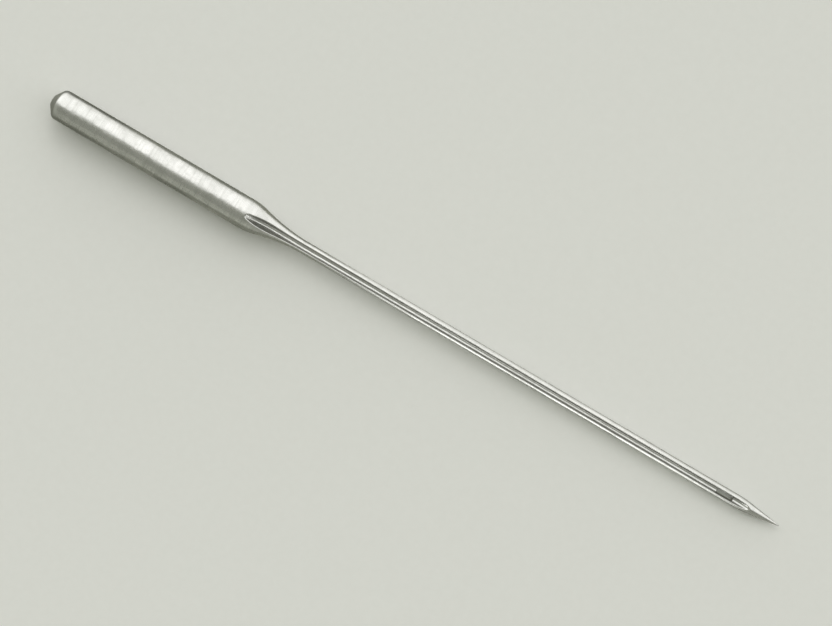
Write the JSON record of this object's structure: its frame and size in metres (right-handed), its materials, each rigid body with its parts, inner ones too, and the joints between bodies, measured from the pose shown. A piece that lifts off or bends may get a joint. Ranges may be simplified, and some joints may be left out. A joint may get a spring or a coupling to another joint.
{
  "type": "sewing machine needle",
  "caption": "Round-shank sewing machine needle in plated steel with a long groove, an eye, a scarf, a short groove and a tapered point.",
  "frame": {"origin": "centre of the small flat at the end of the butt, on the needle's axis", "axes": "+X along the needle's axis from the butt to the point, +Z out of the long groove, -Z out of the scarf"},
  "size_m": [0.0443, 0.0016, 0.0018],
  "materials": {
    "plated_steel": "bright plated steel, satin polished"
  },
  "bodies": {
    "root": {"needle": "plated_steel"}
  },
  "joints": []
}
